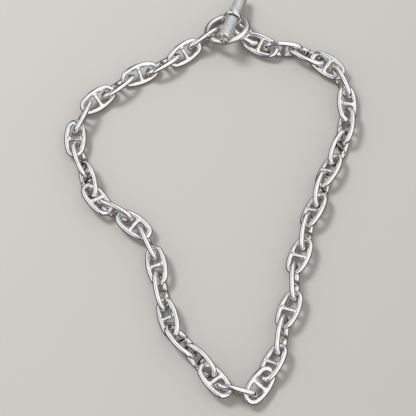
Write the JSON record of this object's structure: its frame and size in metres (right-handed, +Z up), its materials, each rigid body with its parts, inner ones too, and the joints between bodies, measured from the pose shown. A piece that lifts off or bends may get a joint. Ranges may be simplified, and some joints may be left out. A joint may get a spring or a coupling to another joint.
{
  "type": "mariner link chain necklace",
  "caption": "Heavy necklace chain of oval mariner links, each with a straight stud across it, closed by a ring and bar toggle clasp.",
  "frame": {"origin": "on the surface that the necklace lies on, under the middle of its box", "axes": "+Z up from the surface, +Y from the bottom of the loop to the clasp, +X to the right as the loop is seen from above with the clasp at the top"},
  "size_m": [0.1255, 0.1854, 0.0169],
  "materials": {
    "polished_silver": "polished sterling silver with fine wear",
    "satin_silver": "satin sterling silver, brushed along its length, with polished ends"
  },
  "bodies": {
    "root": {"link_01": "polished_silver", "link_02": "polished_silver", "link_03": "polished_silver", "link_04": "polished_silver", "link_05": "polished_silver", "link_06": "polished_silver", "link_07": "polished_silver", "link_08": "polished_silver", "link_09": "polished_silver", "link_10": "polished_silver", "link_11": "polished_silver", "link_12": "polished_silver", "link_13": "polished_silver", "link_14": "polished_silver", "link_15": "polished_silver", "link_16": "polished_silver", "link_17": "polished_silver", "link_18": "polished_silver", "link_19": "polished_silver", "link_20": "polished_silver", "link_21": "polished_silver", "link_22": "polished_silver", "link_23": "polished_silver", "link_24": "polished_silver", "link_25": "polished_silver", "link_26": "polished_silver", "link_27": "polished_silver", "link_28": "polished_silver", "link_29": "polished_silver", "link_30": "polished_silver", "link_31": "polished_silver", "link_32": "polished_silver", "link_33": "polished_silver", "link_34": "polished_silver", "link_35": "polished_silver", "link_36": "polished_silver", "link_37": "polished_silver", "link_38": "polished_silver", "link_39": "polished_silver", "link_40": "polished_silver", "toggle_ring": "polished_silver", "toggle_bar": "satin_silver", "bar_ring": "polished_silver"}
  },
  "joints": []
}
